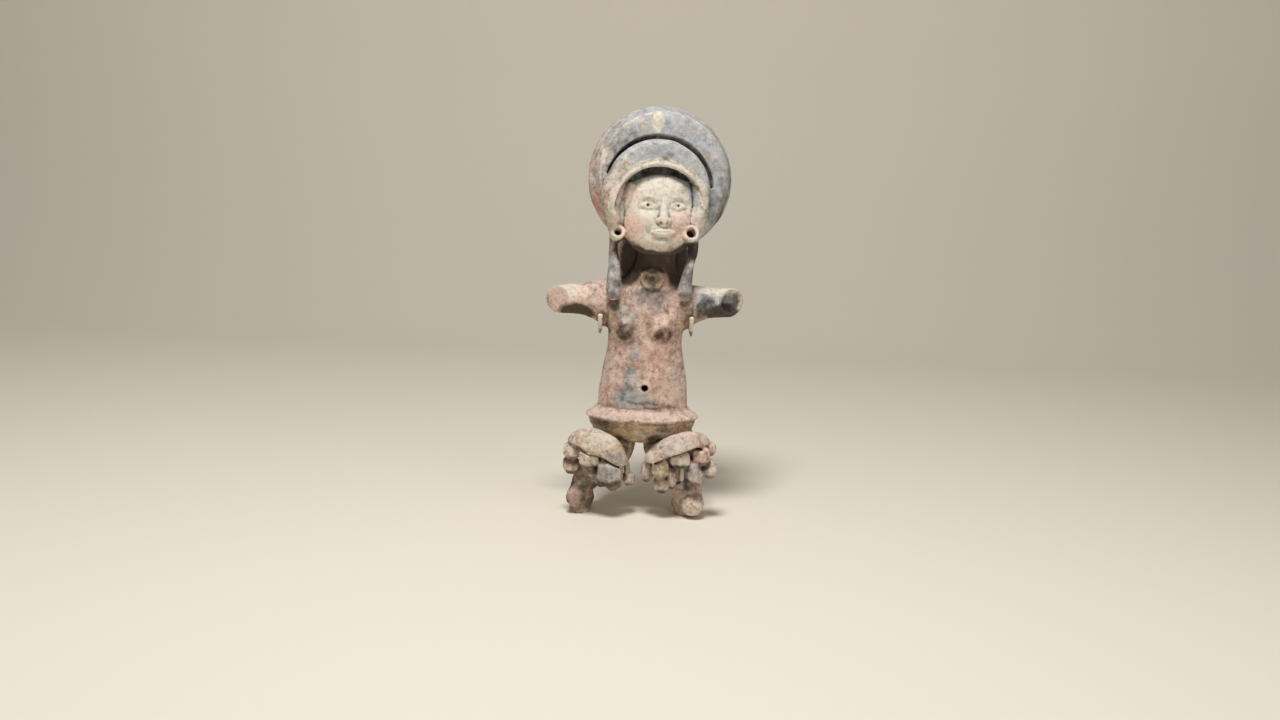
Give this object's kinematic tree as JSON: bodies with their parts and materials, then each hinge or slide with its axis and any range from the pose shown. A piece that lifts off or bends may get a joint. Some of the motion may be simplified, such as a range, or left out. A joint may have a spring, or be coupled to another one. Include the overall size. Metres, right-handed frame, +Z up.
{
  "type": "ceramic figurine",
  "caption": "Standing fired-clay female figurine with a round halo headdress, arm stumps, skirt flange and clay leg rattles, held by a slim rod cradle.",
  "frame": {"origin": "on the ground plane under the middle of the whole part", "axes": "+Z up through the headdress; the figure faces -Y; +X is to the viewer's right"},
  "size_m": [0.1923, 0.095, 0.3931],
  "materials": {
    "fired_clay": "unglazed, slip-coated and weathered",
    "cradle_steel": "dark patinated rod",
    "pale_sleeve": "matt pale tubing"
  },
  "bodies": {
    "root": {"figure": "fired_clay", "cradle": "cradle_steel", "cradle_sleeve_left": "pale_sleeve", "cradle_sleeve_right": "pale_sleeve", "cradle_sleeve_leg": "pale_sleeve"}
  },
  "joints": []
}
